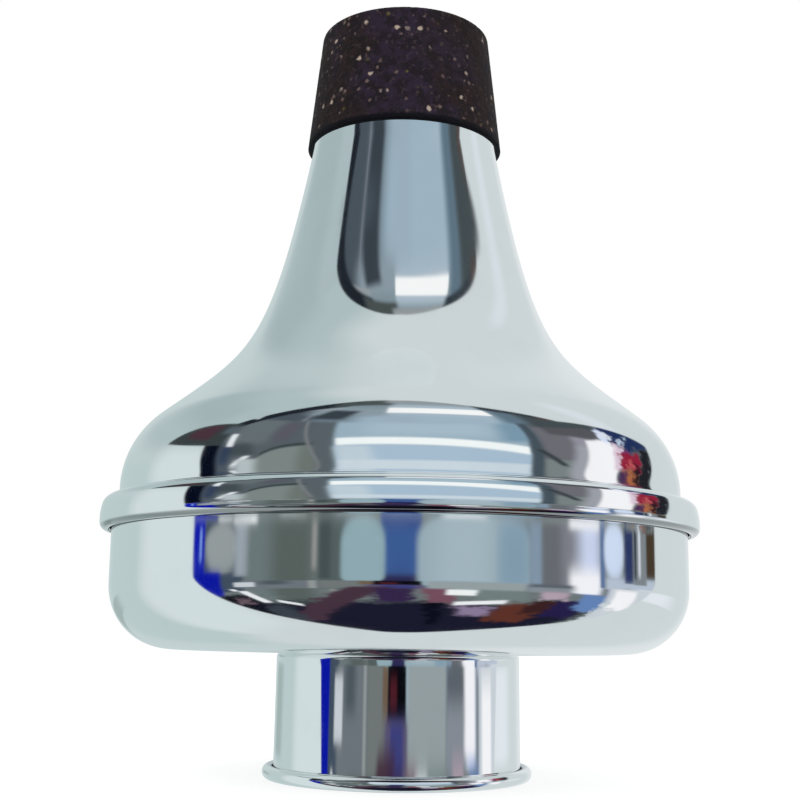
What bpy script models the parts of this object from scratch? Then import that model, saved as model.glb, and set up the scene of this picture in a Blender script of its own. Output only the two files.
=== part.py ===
"""Wah-wah mute for a tenor trombone, built from seven turned pieces on one axis.

Two spun aluminium shells are folded together at a ring. A cork collar round the neck holds the
mute in the bell. Through a cork-lined guide in the base slides the stem: a tube that carries a
cup with a rolled rim. The mute stands on that rim, with +Z up the axis and the stem pushed in.
Sizes are in metres. Angles are in degrees.
"""

from math import acos, cos, degrees, radians, sin, tan

import bmesh
import bpy
from mathutils import Vector

# Sheet and fits
SHEET = 0.0009             # wall of the two shells, the guide and the cup
GAP = 0.0003               # left between pieces that touch
HOLE_CLEARANCE = 0.0005    # between the stem tube and the metal edges round it

# Cup at the stem's outer end
CUP_HEIGHT = 0.0304        # rim to the closed end
CUP_RADIUS = 0.03025       # outside, at the closed end
CUP_MOUTH_RADIUS = 0.03045  # outside, just above the rim
CUP_CORNER = 0.0014        # outer rounding of the closed end
CUP_COLLAR = 0.0050        # depth of the edge turned down round the tube
COLLAR_BEND = 0.0006       # inner rounding where that edge turns down
BEAD_WIDTH = 0.0036        # rolled rim, across
BEAD_HEIGHT = 0.0032       # rolled rim, from the table up
RIM_LAND = 0.0008          # narrow flat that the rim stands on

# Stem tube
TUBE_RADIUS = 0.0127       # outside
TUBE_WALL = 0.0008
TUBE_REACH = 0.1100        # from the cup's closed end to the tube's free end
TUBE_FLANGE = 0.0022       # how far its lower edge is turned out under the cup's collar

# Guide and its cork lining
GUIDE_HEIGHT = 0.0200      # above the inside of the base
GUIDE_FLANGE = 0.0050      # width of the foot that lies on the base
GUIDE_BEND = 0.0004        # inner rounding of its bends
GUIDE_CORK_WALL = 0.0020

# Lower shell
BARREL_RADIUS = 0.0718     # outside
BARREL_HEIGHT = 0.0285     # from the base to the ring
BARREL_CORNER = 0.0155     # outer rounding between base and barrel
SEAM_JOGGLE = 0.0017       # how far the lip steps out from the barrel

# Ring, where the upper shell is folded round the lip
RING_HEIGHT = 0.0080
RING_TOP_CORNER = 0.0026
RING_BOTTOM_CORNER = 0.0012

# Upper shell
SKIRT_INSET = 0.00155      # skirt above the ring, inside the barrel's radius
SKIRT_HEIGHT = 0.00225     # from the ring to where the shoulder starts to turn in
SKIRT_FILLET = 0.0006      # outer hollow rounding between ring and skirt
SHOULDER_RADIUS = 0.02255
SHOULDER_SWEEP = 52.0      # angle that the shoulder turns through
FLARE_HEIGHT = 0.0943      # from the ring to the foot of the neck
FLARE_LOW_PULL = 0.0288    # how far the flare holds the shoulder's slope
FLARE_HIGH_PULL = 0.0561   # how far it holds the neck's slope
NECK_RADIUS = 0.0241       # outside, at the foot of the neck
NECK_SLOPE = 10.9          # slope of the flare where it meets the neck
NECK_TAPER = 8.5           # slope of the neck under the cork

# Cork collar
CORK_LENGTH = 0.0316
CORK_WALL = 0.0013         # at the lower edge
CORK_TAPER = 6.3           # slope of its outside
CORK_ROUND = 0.0010        # rounding of the upper edge
CORK_CHAMFER = 0.0003      # of the lower edge
CORK_OVERHANG = 0.0004     # cork past the end of the metal neck

# Facets round the axis, and along the curved stretches of a section
SHELL_STEPS = 48
CUP_STEPS = 40
TUBE_STEPS = 32
BEND_STEPS = 2
CORNER_STEPS = 3
JOGGLE_STEPS = 3
BARREL_CORNER_STEPS = 7
SHOULDER_STEPS = 5
FLARE_STEPS = 10
BEAD_STEPS = 4
CURL_STEPS = 5
SHARP_ANGLE = 40.0         # edges sharper than this are drawn as edges

# Sizes worked out from the ones above
HALF_SHEET = SHEET / 2
RING_RADIUS = BARREL_RADIUS + SEAM_JOGGLE + SHEET + GAP
EDGE_RADIUS = TUBE_RADIUS + HOLE_CLEARANCE
GUIDE_CORK_BORE = TUBE_RADIUS + GAP
GUIDE_CORK_RADIUS = GUIDE_CORK_BORE + GUIDE_CORK_WALL
GUIDE_BORE = GUIDE_CORK_RADIUS + GAP
NECK_LENGTH = CORK_LENGTH - CORK_OVERHANG
BODY_HEIGHT = CUP_HEIGHT + GAP          # underside of the base
RING_LEVEL = BARREL_HEIGHT              # the rest are heights above that underside
NECK_LEVEL = RING_LEVEL + RING_HEIGHT + FLARE_HEIGHT


def straight(start, end):
    """A straight run of a section, as two stations: each a point and its heading."""
    start, end = Vector(start), Vector(end)
    heading = (end - start).normalized()
    return [(start, heading), (end, heading)]


def bend(centre, radius, start, end, steps, height=None):
    """A round bend from one angle to another; with a height it is an oval one."""
    height = radius if height is None else height
    way = 1 if end > start else -1
    stations = []
    for step in range(steps + 1):
        angle = radians(start + (end - start) * step / steps)
        point = Vector(centre) + Vector((radius * cos(angle), height * sin(angle)))
        heading = Vector((-radius * sin(angle), height * cos(angle))) * way
        stations.append((point, heading.normalized()))
    return stations


def sweep(start, start_heading, start_pull, end, end_heading, end_pull, steps):
    """A cubic curve that leaves and arrives along the given headings."""
    handles = (start, start + start_heading * start_pull, end - end_heading * end_pull, end)
    stations = []
    for step in range(steps + 1):
        u = step / steps
        v = 1 - u
        weights = (v ** 3, 3 * v * v * u, 3 * v * u * u, u ** 3)
        slopes = (-v * v, v * v - 2 * v * u, 2 * v * u - u * u, u * u)
        point = sum((h * w for h, w in zip(handles, weights)), Vector((0, 0)))
        heading = sum((h * s for h, s in zip(handles, slopes)), Vector((0, 0)))
        stations.append((point, heading.normalized()))
    return stations


def chain(*runs):
    """Runs joined end to end, with one station where two of them meet."""
    stations = list(runs[0])
    for run in runs[1:]:
        _, before = stations.pop()
        point, after = run[0]
        stations.append((point, (before + after).normalized()))
        stations.extend(run[1:])
    return stations


def sheet_section(stations, wall):
    """Closed outline of a sheet whose middle line passes through the stations."""
    sides = [Vector((-heading.y, heading.x)) * wall / 2 for _, heading in stations]
    left = [point + side for (point, _), side in zip(stations, sides)]
    right = [point - side for (point, _), side in zip(stations, sides)]
    return left + right[::-1]


def cup_section():
    """Closed end with its edge turned down round the tube, wall, and rim rolled outwards."""
    collar = TUBE_RADIUS + GAP + HALF_SHEET
    turn = COLLAR_BEND + HALF_SHEET
    top = CUP_HEIGHT - HALF_SHEET
    wall = CUP_RADIUS - HALF_SHEET
    corner = CUP_CORNER - HALF_SHEET
    mouth = CUP_MOUTH_RADIUS - HALF_SHEET
    bead_x = (BEAD_WIDTH - RIM_LAND - SHEET) / 2
    bead_z = (BEAD_HEIGHT - SHEET) / 2
    level = BEAD_HEIGHT / 2
    inner, outer = mouth + bead_x, mouth + bead_x + RIM_LAND
    reach = (CUP_MOUTH_RADIUS + GAP - outer) / (bead_x + HALF_SHEET)
    curl_end = 360 + degrees(acos(reach))
    path = chain(
        straight((collar, CUP_HEIGHT - CUP_COLLAR), (collar, top - turn)),
        bend((collar + turn, top - turn), turn, 180, 90, BEND_STEPS),
        straight((collar + turn, top), (wall - corner, top)),
        bend((wall - corner, top - corner), corner, 90, 0, CORNER_STEPS),
        straight((wall, top - corner), (mouth, level)),
        bend((inner, level), bead_x, 180, 270, BEAD_STEPS, bead_z),
        straight((inner, level - bead_z), (outer, level - bead_z)),
        bend((outer, level), bead_x, 270, 360, BEAD_STEPS, bead_z),
        bend((outer, level), bead_x, 360, curl_end, CURL_STEPS, bead_z),
    )
    return sheet_section(path, SHEET)


def tube_section():
    """Straight tube, its lower edge turned out under the cup's collar. Zero is the cup's end."""
    middle = TUBE_RADIUS - TUBE_WALL / 2
    turn = GAP + TUBE_WALL / 2
    collar_end = -CUP_COLLAR
    path = chain(
        straight((middle, TUBE_REACH), (middle, collar_end)),
        bend((middle + turn, collar_end), turn, 180, 270, BEND_STEPS),
        straight((middle + turn, collar_end - turn), (TUBE_RADIUS + TUBE_FLANGE, collar_end - turn)),
    )
    return sheet_section(path, TUBE_WALL)


def lower_shell_section():
    """Base with the stem's hole, rounded barrel, and lip stepped out for the seam."""
    floor = HALF_SHEET
    barrel = BARREL_RADIUS - HALF_SHEET
    corner = BARREL_CORNER - HALF_SHEET
    lip = RING_RADIUS - SHEET - GAP - HALF_SHEET
    joggle = (lip - barrel) / 2
    ledge = RING_LEVEL + SHEET + GAP + HALF_SHEET
    lip_end = RING_LEVEL + RING_HEIGHT - RING_TOP_CORNER
    path = chain(
        straight((EDGE_RADIUS, floor), (barrel - corner, floor)),
        bend((barrel - corner, floor + corner), corner, -90, 0, BARREL_CORNER_STEPS),
        straight((barrel, floor + corner), (barrel, ledge - joggle)),
        bend((barrel + joggle, ledge - joggle), joggle, 180, 90, JOGGLE_STEPS),
        bend((lip - joggle, ledge + joggle), joggle, -90, 0, JOGGLE_STEPS),
        straight((lip, ledge + joggle), (lip, lip_end)),
    )
    return sheet_section(path, SHEET)


def upper_shell_section():
    """Hem folded under the lip, ring, skirt, shoulder, flare and neck. Zero is the ring's foot."""
    hem = BARREL_RADIUS + GAP
    band = RING_RADIUS - HALF_SHEET
    low = RING_BOTTOM_CORNER - HALF_SHEET
    high = RING_TOP_CORNER - HALF_SHEET
    step = RING_HEIGHT - HALF_SHEET
    skirt = BARREL_RADIUS - SKIRT_INSET - HALF_SHEET
    fillet = SKIRT_FILLET + HALF_SHEET
    shoulder = SHOULDER_RADIUS - HALF_SHEET
    skirt_end = RING_HEIGHT + SKIRT_HEIGHT
    arc = bend((skirt - shoulder, skirt_end), shoulder, 0, SHOULDER_SWEEP, SHOULDER_STEPS)
    leave, leave_heading = arc[-1]
    slope = radians(NECK_SLOPE)
    arrive_heading = Vector((-sin(slope), cos(slope)))
    foot = Vector((NECK_RADIUS, RING_HEIGHT + FLARE_HEIGHT))
    arrive = foot - Vector((cos(slope), sin(slope))) * HALF_SHEET
    neck_end = arrive + Vector((-tan(radians(NECK_TAPER)), 1)) * NECK_LENGTH
    path = chain(
        straight((hem, HALF_SHEET), (band - low, HALF_SHEET)),
        bend((band - low, HALF_SHEET + low), low, -90, 0, BEND_STEPS),
        straight((band, HALF_SHEET + low), (band, step - high)),
        bend((band - high, step - high), high, 0, 90, CORNER_STEPS),
        straight((band - high, step), (skirt + fillet, step)),
        bend((skirt + fillet, step + fillet), fillet, 270, 180, BEND_STEPS),
        straight((skirt, step + fillet), (skirt, skirt_end)),
        arc,
        sweep(leave, leave_heading, FLARE_LOW_PULL,
              arrive, arrive_heading, FLARE_HIGH_PULL, FLARE_STEPS),
        straight(arrive, neck_end),
    )
    return sheet_section(path, SHEET)


def guide_section():
    """Sleeve with a foot on the base, and its upper edge turned in over the cork lining."""
    turn = GUIDE_BEND + HALF_SHEET
    foot = GAP + HALF_SHEET
    sleeve = GUIDE_BORE + HALF_SHEET
    top = GUIDE_HEIGHT - HALF_SHEET
    path = chain(
        straight((GUIDE_BORE + SHEET + GUIDE_FLANGE, foot), (sleeve + turn, foot)),
        bend((sleeve + turn, foot + turn), turn, 270, 180, BEND_STEPS),
        straight((sleeve, foot + turn), (sleeve, top - turn)),
        bend((sleeve - turn, top - turn), turn, 0, 90, BEND_STEPS),
        straight((sleeve - turn, top), (EDGE_RADIUS, top)),
    )
    return sheet_section(path, SHEET)


def guide_cork_section():
    """Plain cork ring between the sleeve and the stem tube."""
    low, high = GAP, GUIDE_HEIGHT - SHEET - GAP
    return [
        Vector((GUIDE_CORK_BORE, low)),
        Vector((GUIDE_CORK_RADIUS, low)),
        Vector((GUIDE_CORK_RADIUS, high)),
        Vector((GUIDE_CORK_BORE, high)),
    ]


def neck_cork_section():
    """Tapered collar with a rounded upper edge. Zero is the foot of the neck."""
    taper = radians(CORK_TAPER)
    lower_radius = NECK_RADIUS + GAP + CORK_WALL
    round_level = CORK_LENGTH - CORK_ROUND
    centre = lower_radius - round_level * tan(taper) - CORK_ROUND / cos(taper)
    edge = bend((centre, round_level), CORK_ROUND, CORK_TAPER, 90, CORNER_STEPS)
    bore_end = NECK_RADIUS + GAP - CORK_LENGTH * tan(radians(NECK_TAPER))
    return [
        Vector((NECK_RADIUS + GAP, 0)),
        Vector((lower_radius - CORK_CHAMFER, 0)),
        Vector((lower_radius - CORK_CHAMFER * tan(taper), CORK_CHAMFER)),
        *(point for point, _ in edge),
        Vector((bore_end, CORK_LENGTH)),
    ]


def finish(name, colour, roughness, metallic):
    """Material with the piece's colour, roughness and metallic value."""
    material = bpy.data.materials.new(name)
    material.use_nodes = True
    shader = material.node_tree.nodes["Principled BSDF"]
    shader.inputs["Base Color"].default_value = (*colour, 1)
    shader.inputs["Roughness"].default_value = roughness
    shader.inputs["Metallic"].default_value = metallic
    return material


def turned(name, section, steps, material, carrier, height):
    """Piece made by turning a closed section round the axis of its carrier."""
    mesh = bpy.data.meshes.new(name)
    form = bmesh.new()
    corners = [form.verts.new((point.x, 0, point.y)) for point in section]
    edges = [form.edges.new((a, b)) for a, b in zip(corners, corners[1:] + corners[:1])]
    bmesh.ops.spin(form, geom=edges, cent=(0, 0, 0), axis=(0, 0, 1),
                   angle=radians(360), steps=steps, use_merge=True)
    bmesh.ops.recalc_face_normals(form, faces=form.faces)
    form.to_mesh(mesh)
    form.free()
    mesh.shade_smooth()
    mesh.set_sharp_from_angle(angle=radians(SHARP_ANGLE))
    mesh.materials.append(material)
    piece = bpy.data.objects.new(name, mesh)
    piece.parent = carrier
    piece.location.z = height
    bpy.context.scene.collection.objects.link(piece)
    return piece


def carrier(name, height):
    """Empty on the axis that carries the pieces which move together."""
    empty = bpy.data.objects.new(name, None)
    empty.location.z = height
    bpy.context.scene.collection.objects.link(empty)
    return empty


def build():
    """Make the stem, standing on its rim, and the body that slides on it."""
    for leftover in list(bpy.data.objects):
        bpy.data.objects.remove(leftover, do_unlink=True)

    polished = finish("polished_aluminium", (0.91, 0.92, 0.92), 0.08, 1.0)
    dark_cork = finish("dark_composite_cork", (0.032, 0.022, 0.026), 0.85, 0.0)
    pale_cork = finish("pale_cork", (0.46, 0.29, 0.16), 0.9, 0.0)

    stem = carrier("stem_carrier", 0)
    turned("stem_cup", cup_section(), CUP_STEPS, polished, stem, 0)
    turned("stem_tube", tube_section(), TUBE_STEPS, polished, stem, CUP_HEIGHT)

    body = carrier("body_carrier", BODY_HEIGHT)
    turned("lower_shell", lower_shell_section(), SHELL_STEPS, polished, body, 0)
    turned("stem_guide", guide_section(), TUBE_STEPS, polished, body, SHEET)
    turned("guide_cork", guide_cork_section(), TUBE_STEPS, pale_cork, body, SHEET)
    turned("upper_shell", upper_shell_section(), SHELL_STEPS, polished, body, RING_LEVEL)
    turned("neck_cork", neck_cork_section(), SHELL_STEPS, dark_cork, body, NECK_LEVEL)


build()
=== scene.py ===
"""Scene for a wah-wah trombone mute: a mirror-polished, spun aluminium body with a cork collar.

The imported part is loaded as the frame. Each turned piece is then built again with fine surfaces
of revolution, dressed, and set to ride on its body of the frame. Sizes are in metres, angles in
degrees, and +Z runs up the mute's axis.
"""

import logging
import math
from dataclasses import dataclass, field
from enum import Enum
from typing import Iterable, Optional, Sequence

import bpy
import numpy as np
from mathutils import Matrix, Vector


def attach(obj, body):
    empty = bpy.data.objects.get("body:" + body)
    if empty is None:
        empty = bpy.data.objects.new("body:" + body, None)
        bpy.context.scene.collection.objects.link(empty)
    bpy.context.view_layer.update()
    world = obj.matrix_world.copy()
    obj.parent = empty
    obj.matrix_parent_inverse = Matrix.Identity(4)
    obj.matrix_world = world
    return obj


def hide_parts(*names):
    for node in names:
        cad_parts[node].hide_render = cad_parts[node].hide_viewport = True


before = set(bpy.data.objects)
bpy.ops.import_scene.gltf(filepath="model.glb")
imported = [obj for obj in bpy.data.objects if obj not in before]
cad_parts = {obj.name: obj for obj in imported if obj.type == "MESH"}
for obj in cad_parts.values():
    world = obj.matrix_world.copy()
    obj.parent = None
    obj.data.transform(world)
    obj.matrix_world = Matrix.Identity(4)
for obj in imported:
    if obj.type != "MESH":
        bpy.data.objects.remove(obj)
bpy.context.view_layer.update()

LOG = logging.getLogger("mute")
Colour = tuple[float, float, float]


class Body(Enum):
    """Bodies of the frame that a piece can ride on."""

    STEM = "stem"
    SHELLS = "body"


class Slot(Enum):
    """Material slots."""

    POLISHED = "polished_aluminium"
    DARK_CORK = "dark_cork"
    PALE_CORK = "pale_cork"


class Face(Enum):
    """Side of a sheet's path that shows on the finished piece."""

    LEFT = "left"
    RIGHT = "right"


def linear(red: float, green: float, blue: float) -> Colour:
    """Turn a colour as a screen gives it into the linear values that shaders take.

    Args:
        red: Red from 0 to 255.
        green: Green from 0 to 255.
        blue: Blue from 0 to 255.

    Returns:
        The colour as three linear values from 0 to 1.
    """
    shares = [value / 255 for value in (red, green, blue)]
    return tuple(s / 12.92 if s <= 0.04045 else ((s + 0.055) / 1.055) ** 2.4 for s in shares)


# Sections


@dataclass(frozen=True)
class Run:
    """A stretch of a section: points as (radius, height) and the unit heading at each point."""

    points: np.ndarray
    headings: np.ndarray


def straight(start: Iterable[float], end: Iterable[float], count: int = 2) -> Run:
    """Points spaced evenly on a straight line.

    Args:
        start: First point, as radius and height.
        end: Last point.
        count: Number of points.

    Returns:
        The run, with the line's own direction at every point.
    """
    start, end = np.asarray(start, float), np.asarray(end, float)
    share = np.linspace(0, 1, count)[:, None]
    heading = (end - start) / np.linalg.norm(end - start)
    return Run(start + (end - start) * share, np.tile(heading, (count, 1)))


def bend(centre: Iterable[float], radius: float, start: float, end: float, count: int,
         height: Optional[float] = None) -> Run:
    """Points on an arc: centre + (radius cos a, height sin a), with the slope of that curve.

    Args:
        centre: Middle of the arc, as radius and height.
        radius: Half width of the arc.
        start: Angle of the first point, in degrees from the outward direction.
        end: Angle of the last point.
        count: Number of points.
        height: Half height of an oval arc; the arc is round where none is given.

    Returns:
        The run along the arc.
    """
    height = radius if height is None else height
    angle = np.radians(np.linspace(start, end, count))
    points = np.asarray(centre, float) + np.stack([radius * np.cos(angle), height * np.sin(angle)], 1)
    way = 1.0 if end > start else -1.0
    slope = np.stack([-radius * np.sin(angle), height * np.cos(angle)], 1) * way
    return Run(points, slope / np.linalg.norm(slope, axis=1, keepdims=True))


def sweep(start: np.ndarray, leave: np.ndarray, leave_pull: float, end: np.ndarray,
          arrive: np.ndarray, arrive_pull: float, count: int) -> Run:
    """Cubic curve between two points: the sum of four corners weighted by v³, 3v²u, 3vu² and u³.

    Args:
        start: First point.
        leave: Unit heading at the first point.
        leave_pull: How far the curve holds that heading.
        end: Last point.
        arrive: Unit heading at the last point.
        arrive_pull: How far the curve holds the last heading.
        count: Number of points.

    Returns:
        The run along the curve.
    """
    corners = np.stack([start, start + leave * leave_pull, end - arrive * arrive_pull, end])
    u = np.linspace(0, 1, count)
    v = 1 - u
    points = np.stack([v ** 3, 3 * v * v * u, 3 * v * u * u, u ** 3], 1) @ corners
    slope = np.stack([-v * v, v * v - 2 * v * u, 2 * v * u - u * u, u * u], 1) @ corners
    return Run(points, slope / np.linalg.norm(slope, axis=1, keepdims=True))


def chain(*runs: Run) -> Run:
    """Join runs end to end, with one point where two of them meet.

    Args:
        runs: The runs, in order, each starting where the one before ends.

    Returns:
        One run through all of them.
    """
    points, headings = [runs[0].points], [runs[0].headings]
    for run in runs[1:]:
        meeting = headings[-1][-1] + run.headings[0]
        headings[-1] = headings[-1].copy()
        headings[-1][-1] = meeting / np.linalg.norm(meeting)
        points.append(run.points[1:])
        headings.append(run.headings[1:])
    return Run(np.concatenate(points), np.concatenate(headings))


@dataclass(frozen=True)
class Outline:
    """Closed outline of a section: points, and how polished the surface is at each (0 to 1)."""

    points: np.ndarray
    polish: np.ndarray


def sheet(path: Run, wall: float, shown: Face, hidden_polish: float = 0.0, rounds: int = 7) -> Outline:
    """Closed outline of a sheet: its path moved half a wall to either side, with rounded edges.

    The edge at each end is a half circle as wide as the sheet, set inside the path's length.

    Args:
        path: Middle line of the sheet.
        wall: Thickness of the sheet.
        shown: Side of the path that is polished.
        hidden_polish: Polish of the other side.
        rounds: Number of points on each rounded edge, its two ends left out.

    Returns:
        The outline and its polish.
    """
    half = wall / 2
    points, headings = path.points.copy(), path.headings
    points[0] += headings[0] * half
    points[-1] -= headings[-1] * half
    side = np.stack([-headings[:, 1], headings[:, 0]], 1) * half
    turn = np.linspace(0, math.pi, rounds + 2)[1:-1, None]
    far = points[-1] + side[-1] * np.cos(turn) + headings[-1] * half * np.sin(turn)
    near = points[0] - side[0] * np.cos(turn) - headings[0] * half * np.sin(turn)
    left, right = points + side, (points - side)[::-1]
    polish = {Face.LEFT: (1.0, hidden_polish), Face.RIGHT: (hidden_polish, 1.0)}[shown]
    shares = [np.full(len(left), polish[0]), np.full(rounds, 0.6),
              np.full(len(right), polish[1]), np.full(rounds, 0.6)]
    return Outline(np.concatenate([left, far, right, near]), np.concatenate(shares))


# Meshes


def ring_faces(rows: int, turns: int) -> np.ndarray:
    """Four-cornered faces of a grid that closes on itself both ways.

    Args:
        rows: Points along the outline.
        turns: Steps round the axis.

    Returns:
        Indices of the corners, one face per row.
    """
    row, turn = np.meshgrid(np.arange(rows), np.arange(turns), indexing="ij")
    row, turn = row.ravel(), turn.ravel()
    after, beside = (row + 1) % rows, (turn + 1) % turns
    return np.stack([row * turns + turn, row * turns + beside,
                     after * turns + beside, after * turns + turn], 1)


def mesh_object(name: str, vertices: np.ndarray, faces: Sequence, sharp: float,
                polish: Optional[np.ndarray] = None) -> bpy.types.Object:
    """Make an object from its vertices and faces.

    Args:
        name: Name of the object and its mesh.
        vertices: Points, one per row.
        faces: Corner indices of each face.
        sharp: Edges sharper than this many degrees are drawn as edges.
        polish: Polish at each vertex, kept as an attribute for the finish.

    Returns:
        The object, linked to the scene.
    """
    mesh = bpy.data.meshes.new(name)
    mesh.from_pydata(vertices.tolist(), [], [list(face) for face in faces])
    if polish is not None:
        layer = mesh.attributes.new("polish", "FLOAT", "POINT")
        layer.data.foreach_set("value", polish.astype(np.float32))
    mesh.shade_smooth()
    mesh.set_sharp_from_angle(angle=math.radians(sharp))
    mesh.update()
    piece = bpy.data.objects.new(name, mesh)
    bpy.context.scene.collection.objects.link(piece)
    return piece


def turned(name: str, outline: Outline, turns: int, sharp: float = 50.0) -> bpy.types.Object:
    """Turn a closed outline round the axis: (r cos t, r sin t, z) for every point and angle t.

    Args:
        name: Name of the piece.
        outline: Closed outline in radius and height.
        turns: Steps round the axis.
        sharp: Edges sharper than this many degrees are drawn as edges.

    Returns:
        The piece, its faces outwards.
    """
    radius, height = outline.points.T
    area = np.sum(radius * np.roll(height, -1) - np.roll(radius, -1) * height)
    order = slice(None, None, -1 if area < 0 else 1)
    radius, height, polish = radius[order], height[order], outline.polish[order]
    angle = np.linspace(0, 2 * math.pi, turns, endpoint=False)
    vertices = np.stack([np.outer(radius, np.cos(angle)), np.outer(radius, np.sin(angle)),
                         np.repeat(height[:, None], turns, 1)], 2).reshape(-1, 3)
    faces = ring_faces(len(radius), turns)
    return mesh_object(name, vertices, faces, sharp, np.repeat(polish, turns))


# Finishes


class Graph:
    """Short ways to add nodes to one shader tree."""

    def __init__(self, tree: bpy.types.NodeTree) -> None:
        """Start with an empty tree.

        Args:
            tree: The tree, whose nodes are removed.
        """
        self.tree = tree
        tree.nodes.clear()

    def add(self, kind: str, **settings: object) -> bpy.types.Node:
        """Add a node and set its properties.

        Args:
            kind: Blender's name for the node.
            settings: Properties of the node, by name.

        Returns:
            The node.
        """
        node = self.tree.nodes.new(kind)
        for name, value in settings.items():
            setattr(node, name, value)
        return node

    def put(self, value: object, socket: bpy.types.NodeSocket) -> None:
        """Link an output to a socket, or set the socket's own value.

        Args:
            value: An output socket, a number, a vector or a colour.
            socket: The input to fill.
        """
        if isinstance(value, bpy.types.NodeSocket):
            self.tree.links.new(value, socket)
        elif socket.type == "RGBA" and len(value) == 3:
            socket.default_value = (*value, 1)
        else:
            socket.default_value = value

    def math(self, operation: str, *values: object) -> bpy.types.NodeSocket:
        """Add a Math node.

        Args:
            operation: Name of the operation.
            values: Its inputs, as outputs or numbers.

        Returns:
            The result.
        """
        node = self.add("ShaderNodeMath", operation=operation)
        for value, socket in zip(values, node.inputs):
            self.put(value, socket)
        return node.outputs[0]

    def smooth(self, value: object, low: float, high: float, start: float = 0.0,
               end: float = 1.0) -> bpy.types.NodeSocket:
        """Take a value smoothly from start to end as it goes from low to high.

        Args:
            value: The value.
            low: Where the change begins.
            high: Where it ends.
            start: Result at low.
            end: Result at high.

        Returns:
            The result.
        """
        node = self.add("ShaderNodeMapRange", interpolation_type="SMOOTHSTEP")
        for given, name in zip((value, low, high, start, end),
                               ("Value", "From Min", "From Max", "To Min", "To Max")):
            self.put(given, node.inputs[name])
        return node.outputs[0]

    def mix(self, share: object, first: object, second: object) -> bpy.types.NodeSocket:
        """Mix two colours.

        Args:
            share: Share of the second colour.
            first: Colour at share 0.
            second: Colour at share 1.

        Returns:
            The mixed colour.
        """
        node = self.add("ShaderNodeMix", data_type="RGBA")
        self.put(share, node.inputs[0])
        self.put(first, node.inputs[6])
        self.put(second, node.inputs[7])
        return node.outputs[2]

    def noise(self, vector: object, scale: float, detail: float = 2.0,
              rough: float = 0.5) -> bpy.types.NodeSocket:
        """Add a Noise Texture.

        Args:
            vector: Where the noise is read.
            scale: How many waves to the metre.
            detail: Number of finer layers.
            rough: Strength of the finer layers.

        Returns:
            The noise, about 0.5 on average.
        """
        node = self.add("ShaderNodeTexNoise")
        self.put(vector, node.inputs["Vector"])
        self.put(scale, node.inputs["Scale"])
        self.put(detail, node.inputs["Detail"])
        self.put(rough, node.inputs["Roughness"])
        return node.outputs[0]

    def ripple(self, place: object, scale: float, reach: float) -> bpy.types.NodeSocket:
        """Move a place by a noise, so that what is drawn there gets uneven edges.

        Args:
            place: The place.
            scale: How many waves to the metre.
            reach: Largest move.

        Returns:
            The moved place.
        """
        waves = self.add("ShaderNodeTexNoise")
        self.put(place, waves.inputs["Vector"])
        self.put(scale, waves.inputs["Scale"])
        moved = self.add("ShaderNodeVectorMath", operation="MULTIPLY_ADD")
        self.put(waves.outputs["Color"], moved.inputs[0])
        self.put((reach, reach, reach), moved.inputs[1])
        self.put(place, moved.inputs[2])
        return moved.outputs[0]

    def cells(self, vector: object, scale: float, wobble: float = 1.0) -> bpy.types.Node:
        """Add a Voronoi Texture, whose outputs are the distance, the colour and the place of cells.

        Args:
            vector: Where the cells are read.
            scale: How many cells to the metre.
            wobble: How far the cells stray from a regular grid.

        Returns:
            The node.
        """
        node = self.add("ShaderNodeTexVoronoi")
        self.put(vector, node.inputs["Vector"])
        self.put(scale, node.inputs["Scale"])
        self.put(wobble, node.inputs["Randomness"])
        return node

    def bump(self, height: object, distance: float, after: object = None) -> bpy.types.NodeSocket:
        """Tilt the surface by a height.

        Args:
            height: The height, 0 to 1.
            distance: Depth in metres of a height of 1.
            after: Normal that is tilted already.

        Returns:
            The tilted normal.
        """
        node = self.add("ShaderNodeBump")
        self.put(1.0, node.inputs["Strength"])
        self.put(distance, node.inputs["Distance"])
        self.put(height, node.inputs["Height"])
        if after is not None:
            self.put(after, node.inputs["Normal"])
        return node.outputs[0]

    def turned_place(self) -> tuple[bpy.types.NodeSocket, bpy.types.NodeSocket]:
        """Read the place on a turned piece.

        Returns:
            The place in the object's own coordinates, and the place as (distance from the axis, a
            little of the direction round it, height), in which rings round the axis are straight.
        """
        place = self.add("ShaderNodeTexCoord").outputs["Object"]
        flat = self.add("ShaderNodeVectorMath", operation="MULTIPLY")
        self.put(place, flat.inputs[0])
        self.put((1, 1, 0), flat.inputs[1])
        length = self.add("ShaderNodeVectorMath", operation="LENGTH")
        self.put(flat.outputs[0], length.inputs[0])
        parts = self.add("ShaderNodeSeparateXYZ")
        self.put(place, parts.inputs[0])
        drift = self.math("MULTIPLY", parts.outputs[0], 0.004)
        joined = self.add("ShaderNodeCombineXYZ")
        self.put(length.outputs["Value"], joined.inputs[0])
        self.put(drift, joined.inputs[1])
        self.put(parts.outputs[2], joined.inputs[2])
        return place, joined.outputs[0]


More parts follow.
